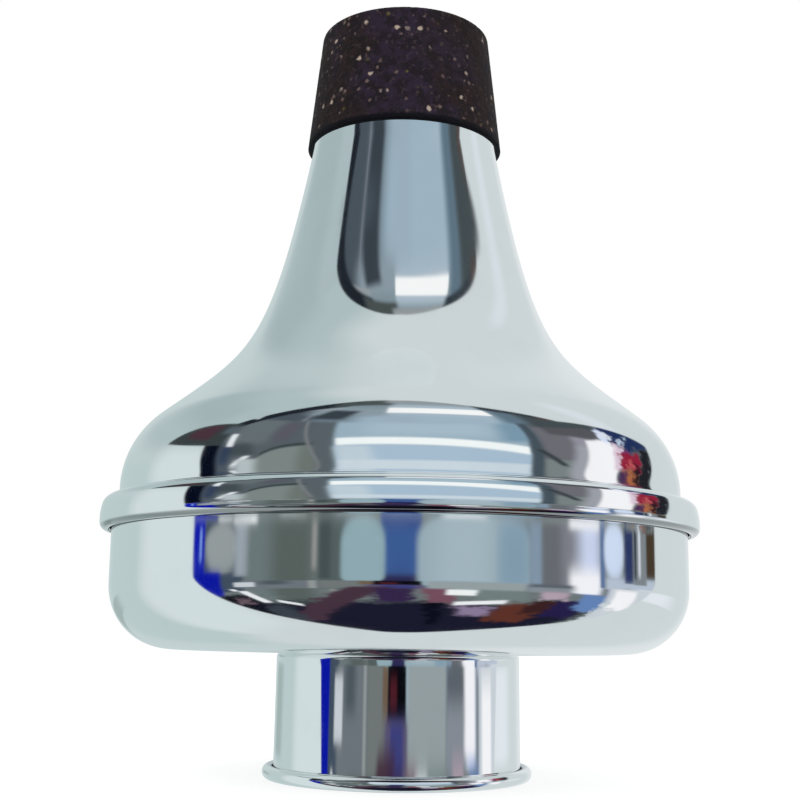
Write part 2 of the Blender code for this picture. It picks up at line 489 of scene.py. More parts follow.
@dataclass(frozen=True)
class PolishedAluminium:
    """Spun aluminium, buffed to a mirror, with faint rings left by the lathe and the mop, and a
    painted shade line where a fold is given.
    """

    name: str
    colour: Colour = (0.91, 0.92, 0.92)
    gloss: float = 0.045          # roughness of the polished side
    plain: float = 0.26           # roughness of a side left as spun
    ring_depth: float = 2.5e-7    # of the fine rings
    wave_depth: float = 2.2e-6    # of the slow waves of the spinning
    fold_shade_level: Optional[float] = None  # height of a fold, above which a painted shade line runs
    fold_shade_rise: float = 0.0013     # how far the painted shade line above that fold goes up
    fold_shade_share: float = 0.40      # brightness left in the painted shade line

    def material(self) -> bpy.types.Material:
        """Build the finish from the piece's own coordinates and its polish attribute.

        Returns:
            The material.
        """
        made = bpy.data.materials.new(self.name)
        made.use_nodes = True
        graph = Graph(made.node_tree)
        place, round_place = graph.turned_place()
        polish = graph.add("ShaderNodeAttribute", attribute_name="polish").outputs["Fac"]
        rings = graph.noise(round_place, 2300, 3.0, 0.6)
        waves = graph.noise(round_place, 130, 1.0)
        smears = graph.noise(place, 95, 3.0, 0.55)
        haze = graph.smooth(smears, 0.35, 0.75, 0.0, 0.035)
        base = graph.smooth(polish, 0.0, 1.0, self.plain, self.gloss)
        rough = graph.math("ADD", base, haze)
        wear_and_fold_shade = graph.mix(graph.smooth(smears, 0.45, 0.8, 0.0, 1.0), self.colour,
                         tuple(value * 0.975 for value in self.colour))
        # Painted shade: a dark line just above the ring's fold, where the base colour drops to a share
        # of itself.
        if self.fold_shade_level is not None:
            parts = graph.add("ShaderNodeSeparateXYZ")
            graph.put(place, parts.inputs[0])
            above = graph.smooth(parts.outputs[2], self.fold_shade_level - 0.0002, self.fold_shade_level + 0.0001)
            below = graph.smooth(parts.outputs[2], self.fold_shade_level + self.fold_shade_rise,
                                 self.fold_shade_level + self.fold_shade_rise - 0.0006)
            wear_and_fold_shade = graph.mix(graph.math("MULTIPLY", above, below), wear_and_fold_shade,
                             tuple(value * self.fold_shade_share for value in self.colour))
        normal = graph.bump(waves, self.wave_depth)
        normal = graph.bump(rings, self.ring_depth, normal)
        shader = graph.add("ShaderNodeBsdfPrincipled")
        graph.put(wear_and_fold_shade, shader.inputs["Base Color"])
        graph.put(rough, shader.inputs["Roughness"])
        shader.inputs["Metallic"].default_value = 1.0
        graph.put(normal, shader.inputs["Normal"])
        output = graph.add("ShaderNodeOutputMaterial")
        graph.put(shader.outputs[0], output.inputs[0])
        return made


@dataclass(frozen=True)
class RubberCork:
    """Dark cork granules bound with rubber, with a scatter of pale chips."""

    name: str = "dark_composite_cork"
    binder: Colour = linear(29, 23, 26)
    brown: Colour = linear(41, 29, 28)
    # Plum tone of the cork, also used as a painted sheen towards the front and back.
    plum_and_sheen: Colour = linear(43, 33, 49)
    dust: Colour = linear(66, 54, 60)
    # Colour of a painted shade band at the collar's foot.
    edge: Colour = linear(12, 11, 17)
    chip: Colour = linear(178, 160, 146)
    faint_chip: Colour = linear(104, 87, 84)
    olive_chip: Colour = linear(92, 84, 44)
    foot: float = 0.1615          # height of the collar's lower edge
    rough: float = 0.82

    def material(self) -> bpy.types.Material:
        """Build the finish: a drift of tint with a painted plum sheen towards the front and back, soft
        granules and dust, a painted shade band at the foot and pale chips.

        Returns:
            The material.
        """
        made = bpy.data.materials.new(self.name)
        made.use_nodes = True
        graph = Graph(made.node_tree)
        place = graph.add("ShaderNodeTexCoord").outputs["Object"]
        parts = graph.add("ShaderNodeSeparateXYZ")
        graph.put(place, parts.inputs[0])
        # Painted sheen: the plum tint grows towards the front and back, where |x| is small, and gives
        # way to brown at the sides.
        side = graph.math("MULTIPLY_ADD", graph.math("ABSOLUTE", parts.outputs[0]), -22.0, 0.33)
        drift = graph.math("ADD", graph.noise(place, 90, 3.0), side)
        colour = graph.mix(graph.smooth(drift, 0.42, 0.70), self.brown, self.plum_and_sheen)
        granules = graph.noise(place, 360, 3.0, 0.6)
        colour = graph.mix(graph.smooth(granules, 0.42, 0.6, 0.0, 0.85), colour, self.binder)
        dust = graph.noise(place, 760, 2.0)
        colour = graph.mix(graph.smooth(dust, 0.56, 0.74, 0.0, 0.75), colour, self.dust)
        bent = graph.ripple(place, 800, 0.0012)
        for scale, chosen, size, tint in ((560, 0.70, 0.40, self.faint_chip),
                                          (480, 0.93, 0.38, self.olive_chip),
                                          (400, 0.82, 0.36, self.chip)):
            chips = graph.cells(bent, scale)
            pick = graph.add("ShaderNodeSeparateColor")
            graph.put(chips.outputs["Color"], pick.inputs[0])
            here = graph.smooth(chips.outputs["Distance"], size, size * 0.2)
            kept = graph.smooth(pick.outputs[2], chosen, 1.0, 0.0, 1.6)
            weight = graph.math("MINIMUM", graph.math("MULTIPLY", here, kept), 0.95)
            colour = graph.mix(weight, colour, tint)
        # Painted shade: a dark band over the lowest two millimetres of the collar.
        colour = graph.mix(graph.smooth(parts.outputs[2], self.foot + 0.0020, self.foot + 0.0010),
                           colour, self.edge)
        grain = graph.noise(place, 2100, 3.0, 0.6)
        normal = graph.bump(grain, 4.0e-5)
        shader = graph.add("ShaderNodeBsdfPrincipled")
        graph.put(colour, shader.inputs["Base Color"])
        rough = graph.smooth(grain, 0.3, 0.7, self.rough - 0.08, self.rough + 0.1)
        graph.put(rough, shader.inputs["Roughness"])
        shader.inputs["Specular IOR Level"].default_value = 0.22
        graph.put(normal, shader.inputs["Normal"])
        output = graph.add("ShaderNodeOutputMaterial")
        graph.put(shader.outputs[0], output.inputs[0])
        return made


@dataclass(frozen=True)
class NaturalCork:
    """Pale sheet cork with darker pores, for the lining of the guide."""

    name: str = "pale_cork"
    light: Colour = (0.50, 0.33, 0.19)
    warm: Colour = (0.38, 0.22, 0.11)
    pore: Colour = (0.11, 0.06, 0.03)
    rough: float = 0.88

    def material(self) -> bpy.types.Material:
        """Build the finish: granules between two tans, and dark pores.

        Returns:
            The material.
        """
        made = bpy.data.materials.new(self.name)
        made.use_nodes = True
        graph = Graph(made.node_tree)
        place = graph.add("ShaderNodeTexCoord").outputs["Object"]
        granule = graph.cells(place, 700)
        shade = graph.add("ShaderNodeSeparateColor")
        graph.put(granule.outputs["Color"], shade.inputs[0])
        colour = graph.mix(graph.smooth(shade.outputs[0], 0.1, 0.9), self.light, self.warm)
        pores = graph.noise(place, 900, 2.0)
        colour = graph.mix(graph.smooth(pores, 0.62, 0.7), colour, self.pore)
        shader = graph.add("ShaderNodeBsdfPrincipled")
        graph.put(colour, shader.inputs["Base Color"])
        graph.put(graph.smooth(pores, 0.3, 0.7, self.rough - 0.06, self.rough + 0.08),
                  shader.inputs["Roughness"])
        shader.inputs["Specular IOR Level"].default_value = 0.25
        graph.put(graph.bump(pores, 5.0e-5), shader.inputs["Normal"])
        output = graph.add("ShaderNodeOutputMaterial")
        graph.put(shader.outputs[0], output.inputs[0])
        return made


# Fits that the sub-assemblies share


@dataclass(frozen=True)
class Fits:
    """Sizes that more than one sub-assembly reads."""

    sheet: float = 0.0009
    gap: float = 0.0003
    hole_clearance: float = 0.0005
    cup_height: float = 0.0304
    tube_radius: float = 0.0127
    barrel_radius: float = 0.0718
    barrel_height: float = 0.0285
    ring_height: float = 0.0080
    seam_joggle: float = 0.0017
    ring_top_corner: float = 0.0026
    flare_height: float = 0.0943
    neck_radius: float = 0.0241
    neck_taper: float = 8.5
    cork_length: float = 0.0316

    @property
    def base(self) -> float:
        """Height of the base's underside."""
        return self.cup_height + self.gap

    @property
    def ring_level(self) -> float:
        """Height of the ring's underside."""
        return self.base + self.barrel_height

    @property
    def neck_level(self) -> float:
        """Height of the foot of the neck."""
        return self.ring_level + self.ring_height + self.flare_height

    @property
    def ring_radius(self) -> float:
        """Outer radius of the ring."""
        return self.barrel_radius + self.seam_joggle + self.sheet + self.gap

    @property
    def edge_radius(self) -> float:
        """Radius of the metal edges round the tube."""
        return self.tube_radius + self.hole_clearance


def dress(piece: bpy.types.Object, material: bpy.types.Material, body: Body, slot: Slot,
          *nodes: str) -> bpy.types.Object:
    """Give a piece its finish and its place in the frame.

    Args:
        piece: The piece.
        material: Its finish.
        body: Body that it rides on.
        slot: Slot that its finish comes from; not used.
        nodes: Nodes that it stands for.

    Returns:
        The same piece.
    """
    piece.data.materials.append(material)
    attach(piece, body.value)
    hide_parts(*nodes)
    return piece


# Stem


@dataclass
class Stem:
    """The sliding stem: a cup with a rolled rim, carried on a tube."""

    fits: Fits
    metal: bpy.types.Material
    cup_radius: float = 0.03025
    mouth_radius: float = 0.03045
    cup_corner: float = 0.0014
    collar_depth: float = 0.0050
    collar_bend: float = 0.0006
    bead_width: float = 0.0036
    bead_height: float = 0.0032
    rim_land: float = 0.0008
    tube_wall: float = 0.0008
    tube_reach: float = 0.1100
    tube_flange: float = 0.0022
    pieces: list = field(default_factory=list)

    def cup(self) -> bpy.types.Object:
        """Build the cup: closed end turned down round the tube, wall, and rim rolled outwards.

        Returns:
            The cup.
        """
        half = self.fits.sheet / 2
        collar = self.fits.tube_radius + self.fits.gap + half
        turn = self.collar_bend + half
        top = self.fits.cup_height - half
        wall = self.cup_radius - half
        corner = self.cup_corner - half
        mouth = self.mouth_radius - half
        bead_x = (self.bead_width - self.rim_land - self.fits.sheet) / 2
        bead_z = (self.bead_height - self.fits.sheet) / 2
        level = self.bead_height / 2
        inner, outer = mouth + bead_x, mouth + bead_x + self.rim_land
        reach = (self.mouth_radius + self.fits.gap - outer) / (bead_x + half)
        curl_end = 360 + math.degrees(math.acos(reach))
        path = chain(
            straight((collar, self.fits.cup_height - self.collar_depth), (collar, top - turn), 5),
            bend((collar + turn, top - turn), turn, 180, 90, 9),
            straight((collar + turn, top), (wall - corner, top), 9),
            bend((wall - corner, top - corner), corner, 90, 0, 13),
            straight((wall, top - corner), (mouth, level), 17),
            bend((inner, level), bead_x, 180, 270, 13, bead_z),
            straight((inner, level - bead_z), (outer, level - bead_z), 3),
            bend((outer, level), bead_x, 270, 360, 13, bead_z),
            bend((outer, level), bead_x, 360, curl_end, 15, bead_z),
        )
        outline = sheet(path, self.fits.sheet, Face.LEFT, hidden_polish=0.75)
        piece = turned("stem_cup_spun", outline, 256)
        return dress(piece, self.metal, Body.STEM, Slot.POLISHED, "stem_cup")

    def tube(self) -> bpy.types.Object:
        """Build the tube, its lower edge turned out under the cup's collar.

        Returns:
            The tube.
        """
        middle = self.fits.tube_radius - self.tube_wall / 2
        turn = self.fits.gap + self.tube_wall / 2
        foot = self.fits.cup_height - self.collar_depth
        path = chain(
            straight((middle, self.fits.cup_height + self.tube_reach), (middle, foot), 33),
            bend((middle + turn, foot), turn, 180, 270, 7),
            straight((middle + turn, foot - turn),
                     (self.fits.tube_radius + self.tube_flange, foot - turn), 3),
        )
        outline = sheet(path, self.tube_wall, Face.LEFT, hidden_polish=0.3)
        piece = turned("stem_tube_drawn", outline, 192)
        return dress(piece, self.metal, Body.STEM, Slot.POLISHED, "stem_tube")

    def build(self) -> None:
        """Build the cup and the tube."""
        self.pieces = [self.cup(), self.tube()]


# Shells


@dataclass
class Shells:
    """The two spun shells of the resonating chamber, folded together at the ring."""

    fits: Fits
    metal: bpy.types.Material
    barrel_corner: float = 0.0155
    ring_bottom_corner: float = 0.0017
    ring_bulge: float = 0.0140
    ring_low_turn: float = -3.5
    skirt_inset: float = 0.00155
    skirt_height: float = 0.00225
    skirt_fillet: float = 0.0006
    shoulder_radius: float = 0.02255
    shoulder_sweep: float = 52.0
    flare_low_pull: float = 0.0288
    flare_high_pull: float = 0.0561
    neck_slope: float = 10.9
    cork_overhang: float = 0.0004
    turns: int = 288
    pieces: list = field(default_factory=list)

    def barrel(self) -> bpy.types.Object:
        """Build the lower shell: base with the stem's hole, rounded barrel, and stepped lip.

        Returns:
            The lower shell.
        """
        fits = self.fits
        half = fits.sheet / 2
        floor = fits.base + half
        wall = fits.barrel_radius - half
        corner = self.barrel_corner - half
        lip = fits.ring_radius - fits.sheet - fits.gap - half
        joggle = (lip - wall) / 2
        ledge = fits.ring_level + fits.sheet + fits.gap + half
        lip_end = fits.ring_level + fits.ring_height - fits.ring_top_corner
        path = chain(
            straight((fits.edge_radius, floor), (wall - corner, floor), 25),
            bend((wall - corner, floor + corner), corner, -90, 0, 41),
            straight((wall, floor + corner), (wall, ledge - joggle), 13),
            bend((wall + joggle, ledge - joggle), joggle, 180, 90, 7),
            bend((lip - joggle, ledge + joggle), joggle, -90, 0, 7),
            straight((lip, ledge + joggle), (lip, lip_end), 3),
        )
        outline = sheet(path, fits.sheet, Face.RIGHT)
        piece = turned("barrel_shell", outline, self.turns)
        return dress(piece, self.metal, Body.SHELLS, Slot.POLISHED, "lower_shell")

    def bell(self) -> bpy.types.Object:
        """Build the upper shell: hem under the lip, ring, skirt, shoulder, flare and neck.

        The ring's face is a slightly bulging arc, and its two corners are arcs that touch it.

        Returns:
            The upper shell.
        """
        fits = self.fits
        half = fits.sheet / 2
        level = fits.ring_level
        hem = fits.barrel_radius + fits.gap
        band = fits.ring_radius - half
        low = self.ring_bottom_corner - half
        high = fits.ring_top_corner - half
        step = level + fits.ring_height - half
        bulge = self.ring_bulge - half
        first = math.radians(self.ring_low_turn)
        middle = level + half + low - (bulge - low) * math.sin(first)
        last = math.asin((step - high - middle) / (bulge - high))
        face = np.array([band - bulge, middle])
        low_end = face + (bulge - low) * np.array([math.cos(first), math.sin(first)])
        high_end = face + (bulge - high) * np.array([math.cos(last), math.sin(last)])
        skirt = fits.barrel_radius - self.skirt_inset - half
        fillet = self.skirt_fillet + half
        shoulder = self.shoulder_radius - half
        skirt_end = level + fits.ring_height + self.skirt_height
        arc = bend((skirt - shoulder, skirt_end), shoulder, 0, self.shoulder_sweep, 35)
        slope = math.radians(self.neck_slope)
        foot = np.array([fits.neck_radius, fits.neck_level])
        arrive = foot - np.array([math.cos(slope), math.sin(slope)]) * half
        taper = math.tan(math.radians(fits.neck_taper))
        neck_end = arrive + np.array([-taper, 1.0]) * (fits.cork_length - self.cork_overhang)
        path = chain(
            straight((hem, level + half), (low_end[0], level + half), 4),
            bend(low_end, low, -90, self.ring_low_turn, 15),
            bend(face, bulge, self.ring_low_turn, math.degrees(last), 17),
            bend(high_end, high, math.degrees(last), 90, 15),
            straight((high_end[0], step), (skirt + fillet, step), 3),
            bend((skirt + fillet, step + fillet), fillet, 270, 180, 9),
            straight((skirt, step + fillet), (skirt, skirt_end), 3),
            arc,
            sweep(arc.points[-1], arc.headings[-1], self.flare_low_pull,
                  arrive, np.array([-math.sin(slope), math.cos(slope)]), self.flare_high_pull, 57),
            straight(arrive, neck_end, 7),
        )
        outline = sheet(path, fits.sheet, Face.RIGHT)
        piece = turned("bell_shell", outline, self.turns)
        return dress(piece, self.metal, Body.SHELLS, Slot.POLISHED, "upper_shell")

    def build(self) -> None:
        """Build both shells."""
        self.pieces = [self.barrel(), self.bell()]


# Guide


@dataclass
class Guide:
    """The sleeve inside the base, with the cork lining that the stem slides in."""

    fits: Fits
    metal: bpy.types.Material
    cork: bpy.types.Material
    height: float = 0.0200
    flange: float = 0.0050
    bend_radius: float = 0.0004
    lining_wall: float = 0.0020
    pieces: list = field(default_factory=list)

    def lining(self) -> bpy.types.Object:
        """Build the cork ring: a rectangle with softly rounded corners, turned round the axis.

        Returns:
            The lining.
        """
        bore = self.fits.tube_radius + self.fits.gap
        low = self.fits.base + self.fits.sheet + self.fits.gap
        high = self.fits.base + self.fits.sheet + self.height - self.fits.sheet - self.fits.gap
        middle = np.array([bore + self.lining_wall / 2, (low + high) / 2])
        reach = np.array([self.lining_wall / 2, (high - low) / 2])
        angle = np.linspace(0, 2 * math.pi, 48, endpoint=False)
        unit = np.stack([np.cos(angle), np.sin(angle)], 1)
        corner = 0.0003
        corners = np.sign(unit) * (reach - corner)
        points = middle + corners + unit * corner
        piece = turned("guide_lining", Outline(points, np.ones(len(points))), 128)
        return dress(piece, self.cork, Body.SHELLS, Slot.PALE_CORK, "guide_cork")

    def sleeve(self) -> bpy.types.Object:
        """Build the sleeve: a foot on the base, and an upper edge turned in over the lining.

        Returns:
            The sleeve.
        """
        fits = self.fits
        half = fits.sheet / 2
        zero = fits.base + fits.sheet
        turn = self.bend_radius + half
        bore = fits.tube_radius + 2 * fits.gap + self.lining_wall
        wall = bore + half
        foot, top = zero + fits.gap + half, zero + self.height - half
        path = chain(
            straight((bore + fits.sheet + self.flange, foot), (wall + turn, foot), 5),
            bend((wall + turn, foot + turn), turn, 270, 180, 7),
            straight((wall, foot + turn), (wall, top - turn), 9),
            bend((wall - turn, top - turn), turn, 0, 90, 7),
            straight((wall - turn, top), (fits.edge_radius, top), 3),
        )
        outline = sheet(path, fits.sheet, Face.RIGHT, hidden_polish=0.2)
        piece = turned("guide_sleeve", outline, 128)
        return dress(piece, self.metal, Body.SHELLS, Slot.POLISHED, "stem_guide")

    def build(self) -> None:
        """Build the sleeve and its lining."""
        self.pieces = [self.sleeve(), self.lining()]


# Cork collar


@dataclass
class CorkCollar:
    """The tapered cork round the neck that wedges in the trombone's bell."""

    fits: Fits
    cork: bpy.types.Material
    wall: float = 0.0013
    taper: float = 6.3
    round_radius: float = 0.0010
    chamfer: float = 0.0003
    pit_depth: float = 0.00016
    granule: float = 0.0019
    turns: int = 420
    seed: int = 11
    pieces: list = field(default_factory=list)

    def outline(self) -> tuple[np.ndarray, np.ndarray]:
        """Work out the closed outline, dense where the collar shows.

        Returns:
            The points as radius and height, and the share of the relief that each point takes.
        """
        taper = math.radians(self.taper)
        level = self.fits.neck_level
        lower = self.fits.neck_radius + self.fits.gap + self.wall
        round_level = self.fits.cork_length - self.round_radius
        centre = lower - round_level * math.tan(taper) - self.round_radius / math.cos(taper)
        bore = self.fits.neck_radius + self.fits.gap
        bore_end = bore - self.fits.cork_length * math.tan(math.radians(self.fits.neck_taper))
        edge = bend((centre, level + round_level), self.round_radius, self.taper, 90, 7).points
        low = np.array([lower - self.chamfer * math.tan(taper), level + self.chamfer])
        share = np.linspace(0, 1, 86)[:, None]
        side = low + (edge[0] - low) * share
        foot = np.array([[bore, level], [lower - self.chamfer, level]])
        foot_mid = np.linspace(foot[0], foot[1], 4)
        end = np.array([bore_end, level + self.fits.cork_length])
        rim = np.linspace(edge[-1], end, 5)[1:]
        back = np.linspace(end, foot[0], 12)[1:-1]
        points = np.concatenate([foot_mid, side, edge[1:], rim, back])
        relief = np.concatenate([np.full(4, 0.0), np.ones(86), np.full(6, 0.8),
                                 np.full(4, 0.5), np.zeros(10)])
        relief[4] = 0.3
        return points, relief

    def relief(self, points: np.ndarray) -> np.ndarray:
        """Depth of the surface below its full size: joints between granules, and torn pits.

        The joints lie where the distances to the two nearest granule centres are alike. A pit is a
        bowl, deepest at its centre, at each of a scatter of places.

        Args:
            points: Places on the full surface, one per row.

        Returns:
            The depth from 0 to 1 at each place.
        """
        draw = np.random.default_rng(self.seed)
        low, high = points.min(0), points.max(0)
        outer = points[np.hypot(points[:, 0], points[:, 1]) > self.fits.neck_radius * 0.75]
        centres = outer[draw.choice(len(outer), 2600, replace=False)]
        centres = centres + draw.normal(0, self.granule * 0.15, centres.shape)
        pits = outer[draw.choice(len(outer), 420, replace=False)]
        widths = draw.uniform(0.00025, 0.0007, len(pits))
        depth = np.zeros(len(points))
        for start in range(0, len(points), 4000):
            part = points[start:start + 4000]
            apart = np.linalg.norm(part[:, None] - centres[None], axis=2)
            near = np.partition(apart, 1, axis=1)[:, :2]
            joint = np.clip(1 - (near[:, 1] - near[:, 0]) / (self.granule * 0.16), 0, 1) ** 2
            hollow = np.linalg.norm(part[:, None] - pits[None], axis=2) / widths
            bowl = np.clip(1 - hollow.min(1) ** 2, 0, 1)
            depth[start:start + 4000] = np.maximum(0.45 * joint, bowl)
        LOG.info("cork relief over %s", np.round(high - low, 3).tolist())
        return depth

    def collar(self) -> bpy.types.Object:
        """Build the collar: the outline turned round the axis, cut back by the relief.

        Returns:
            The collar.
        """
        outline, share = self.outline()
        angle = np.linspace(0, 2 * math.pi, self.turns, endpoint=False)
        radius, height = outline.T
        full = np.stack([np.outer(radius, np.cos(angle)), np.outer(radius, np.sin(angle)),
                         np.repeat(height[:, None], self.turns, 1)], 2).reshape(-1, 3)
        shares = np.repeat(share, self.turns)
        depth = np.zeros(len(full))
        shown = shares > 0
        depth[shown] = self.relief(full[shown]) * shares[shown] * self.pit_depth
        inwards = full * np.array([1, 1, 0])
        inwards /= np.linalg.norm(inwards, axis=1, keepdims=True)
        faces = ring_faces(len(radius), self.turns)
        piece = mesh_object("cork_collar", full - inwards * depth[:, None], faces, 60.0)
        piece.visible_glossy = False
        return dress(piece, self.cork, Body.SHELLS, Slot.DARK_CORK, "neck_cork")

    def build(self) -> None:
        """Build the collar."""
        self.pieces = [self.collar()]


# Studio


@dataclass(frozen=True)
class Panel:
    """A soft-edged patch of the room round the mute, as its mirror finish sees it.

    It spans azimuths left to right (0 towards the front, + to the right) and elevations low to
    high, in degrees about the tent's centre. Lean moves it sideways with height and splay widens
    it with height. Bow lowers its top away from the middle, and sag raises its foot there; where
    no sag is given, the foot follows the top. Where oval is above 0 the panel is rounded: its
    edge lies where |across| and |up|, as shares of its half sizes about its waist, raised to the
    power oval, add up to 1.
    """

    name: str
    left: float
    right: float
    low: float
    high: float
    colour: Colour = (0, 0, 0)
    blur: float = 2.0
    fade: float = 1.5
    lean: float = 0.0
    splay: float = 0.0
    bow: float = 0.0
    sag: Optional[float] = None
    rise: float = 2.0
    waist: float = 0.0
    oval: float = 0.0

    def reaches(self, low: float, high: float) -> bool:
        """Tell whether any of the panel can lie between two elevations.

        Args:
            low: Lower elevation.
            high: Upper elevation.

        Returns:
            True where it can.
        """
        away = (max(abs(self.left), abs(self.right)) / 60) ** self.rise
        sag = -self.bow if self.sag is None else self.sag
        foot = self.low + min(0.0, sag * away) - self.fade
        top = self.high + max(0.0, -self.bow * away) + self.fade
        return foot < high and top > low

    def weight(self, graph: Graph, azimuth: object, elevation: object,
               side: object) -> bpy.types.NodeSocket:
        """Weigh the panel at a direction: the product of a smooth step at each of its four edges.

        Args:
            graph: The graph to add nodes to.
            azimuth: Azimuth of the direction.
            elevation: Its elevation.
            side: Size of the azimuth over 60 degrees.

        Returns:
            The weight, 0 to 1.
        """
        if self.oval:
            return self.rounded(graph, azimuth, elevation)
        lo = hi = azimuth
        if self.lean or self.splay:
            lo = graph.math("MULTIPLY_ADD", elevation, self.splay - self.lean, azimuth)
            hi = lo
        if self.splay:
            hi = graph.math("MULTIPLY_ADD", elevation, -self.splay - self.lean, azimuth)
        foot = top = elevation
        sag = -self.bow if self.sag is None else self.sag
        if self.bow or sag:
            away = graph.math("POWER", side, self.rise)
            top = graph.math("MULTIPLY_ADD", away, self.bow, elevation) if self.bow else elevation
            foot = graph.math("MULTIPLY_ADD", away, -sag, elevation) if sag else elevation
        soft, fade = self.blur / 2, self.fade / 2
        total = graph.smooth(lo, self.left - soft, self.left + soft)
        for edge in (graph.smooth(hi, self.right + soft, self.right - soft),
                     graph.smooth(foot, self.low - fade, self.low + fade),
                     graph.smooth(top, self.high + fade, self.high - fade)):
            total = graph.math("MULTIPLY", total, edge)
        return total

    def rounded(self, graph: Graph, azimuth: object, elevation: object) -> bpy.types.NodeSocket:
        """Weigh a rounded panel: a smooth step where the sum of both powers passes 1.

        Args:
            graph: The graph to add nodes to.
            azimuth: Azimuth of the direction.
            elevation: Its elevation.

        Returns:
            The weight, 0 to 1.
        """
        half = (self.right - self.left) / 2
        middle = (self.right + self.left) / 2
        over, under = 1 / (self.high - self.waist), 1 / (self.waist - self.low)
        across = graph.math("ABSOLUTE", graph.math("MULTIPLY_ADD", azimuth, 1 / half, -middle / half))
        upward = graph.math("MAXIMUM",
                            graph.math("MULTIPLY_ADD", elevation, over, -self.waist * over),
                            graph.math("MULTIPLY_ADD", elevation, -under, self.waist * under))
        total = graph.math("ADD", graph.math("POWER", across, self.oval),
                           graph.math("POWER", upward, self.oval))
        soft = self.oval * self.blur / (2 * half)
        return graph.smooth(total, 1 + soft, 1 - soft)


OPENING = (
    Panel("front left", -75, 24, 0, 73.3, blur=1.5, fade=1.6, lean=-.2, bow=18, sag=0, rise=2.9),
    Panel("front right", -6, 90, 0, 73.3, blur=1.5, fade=1.6, bow=16, sag=0, rise=2.3),
    Panel("side right", -6, 103.5, 0, 49.6, blur=2, fade=1.6, lean=.65, bow=1.95, sag=0, rise=4),
    Panel("below left", -75, 6, -78, 1, blur=1.5, fade=2.4, bow=0, sag=42, rise=2.6),
    Panel("below right", -6, 103.8, -78, 1, blur=1.5, fade=2.4, bow=0, sag=17.5, rise=2.65),
)

